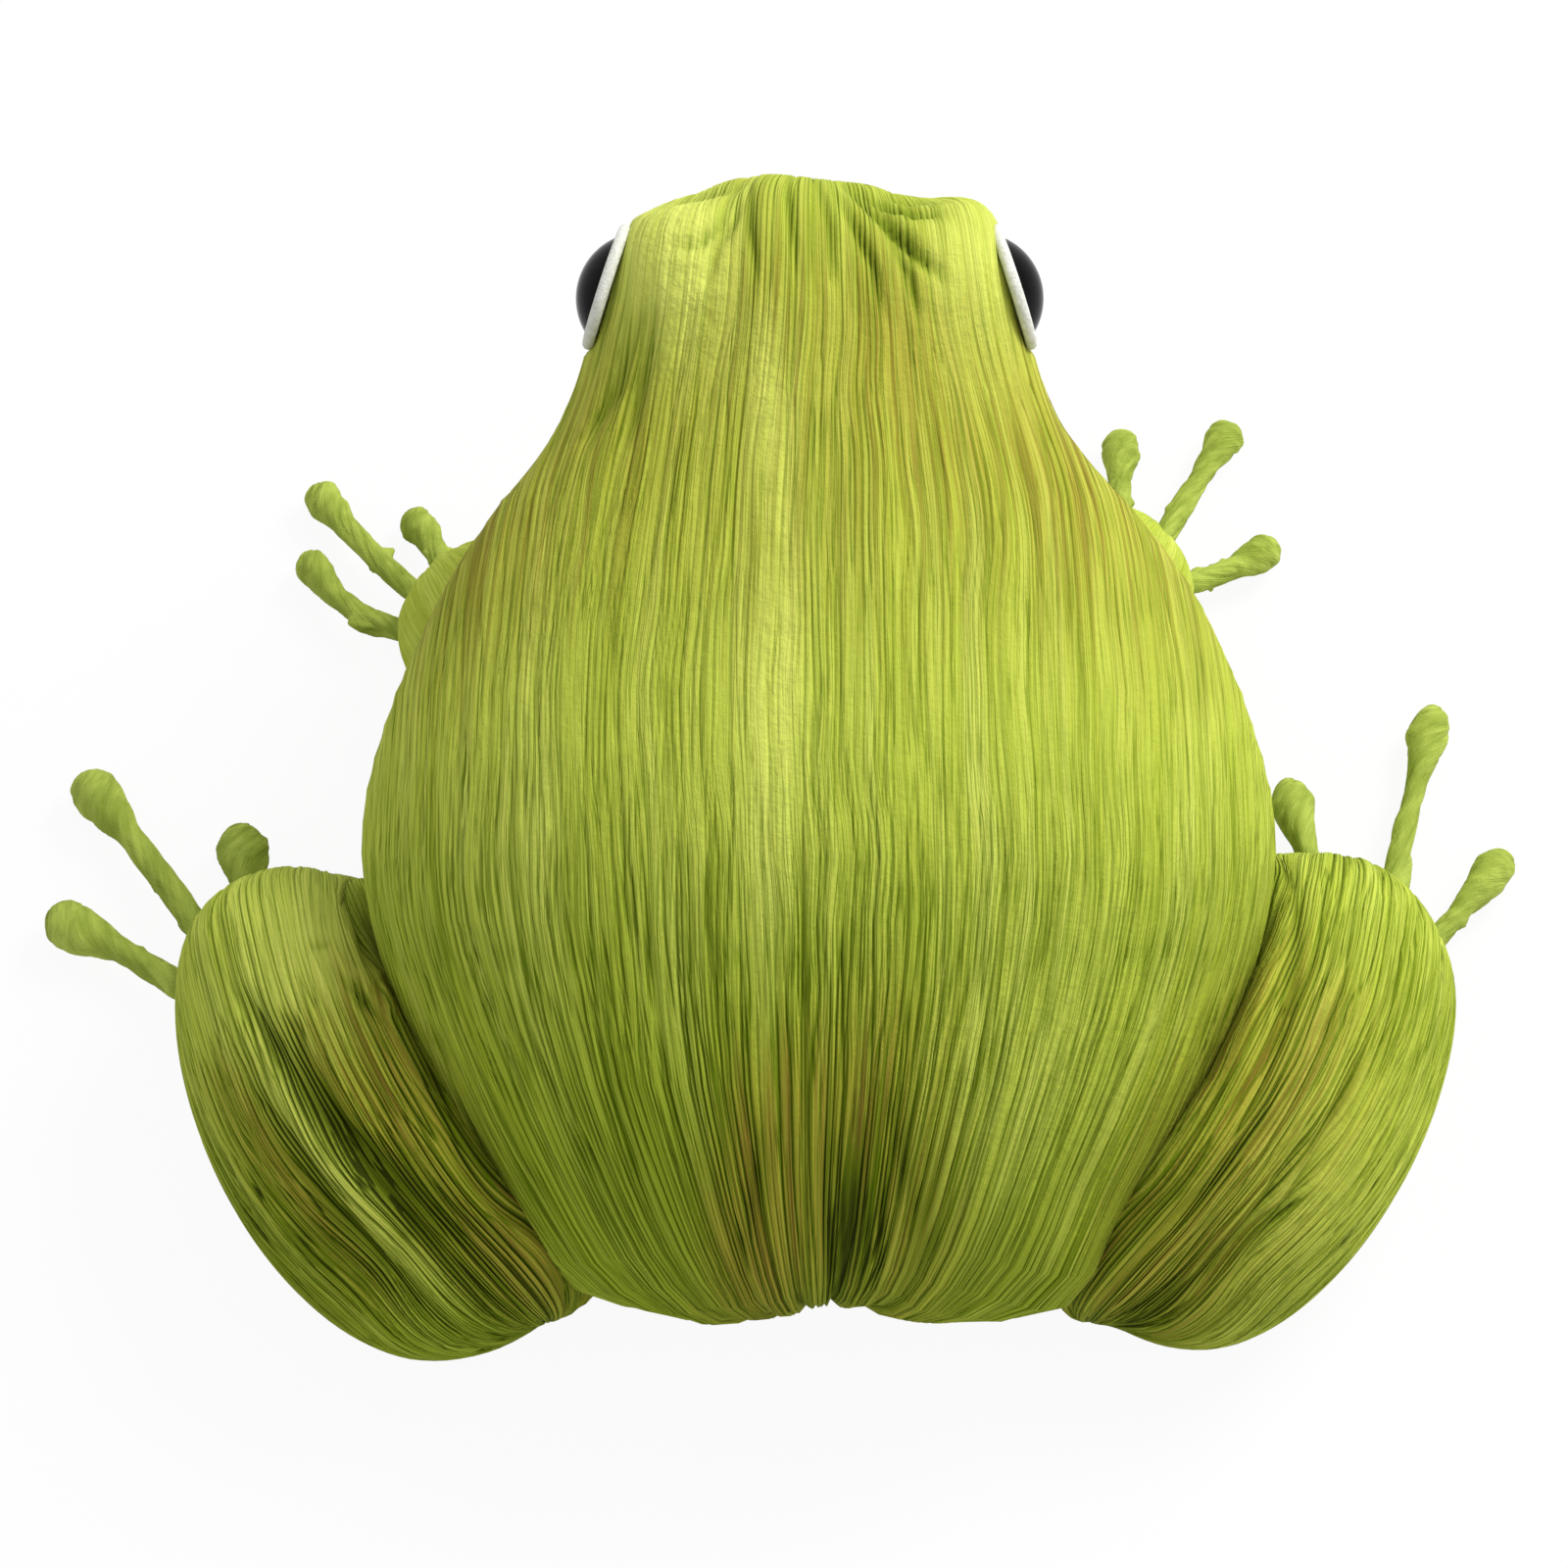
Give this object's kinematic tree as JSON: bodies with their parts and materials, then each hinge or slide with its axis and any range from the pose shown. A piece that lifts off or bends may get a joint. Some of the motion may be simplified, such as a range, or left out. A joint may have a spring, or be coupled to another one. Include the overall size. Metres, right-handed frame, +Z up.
{
  "type": "crepe paper frog",
  "caption": "Sitting frog figure of finely gathered crepe paper over a pear-shaped form, with padded legs, twisted paper toes and glossy dome eyes on felt discs.",
  "frame": {"origin": "middle of the flat patch of belly that rests on the table", "axes": "+Z up, +Y towards the head, +X to the frog's right"},
  "size_m": [0.28, 0.206, 0.1146],
  "materials": {
    "crepe_paper": "matt yellow-green crepe paper in fine pleats, with olive and brown dye streaks",
    "twisted_paper": "matt green paper wound round in a spiral",
    "white_felt": "off-white felt",
    "eye_dome": "glossy black"
  },
  "bodies": {
    "root": {"body": "crepe_paper", "left_hind_leg": "crepe_paper", "right_hind_leg": "crepe_paper", "left_fore_leg": "crepe_paper", "right_fore_leg": "crepe_paper", "left_eye_disc": "white_felt", "right_eye_disc": "white_felt", "left_eye_dome": "eye_dome", "right_eye_dome": "eye_dome", "left_hind_toe_outer": "twisted_paper", "left_hind_toe_middle": "twisted_paper", "left_hind_toe_inner": "twisted_paper", "right_hind_toe_outer": "twisted_paper", "right_hind_toe_middle": "twisted_paper", "right_hind_toe_inner": "twisted_paper", "left_fore_toe_outer": "twisted_paper", "left_fore_toe_middle": "twisted_paper", "left_fore_toe_inner": "twisted_paper", "right_fore_toe_outer": "twisted_paper", "right_fore_toe_middle": "twisted_paper", "right_fore_toe_inner": "twisted_paper"}
  },
  "joints": []
}
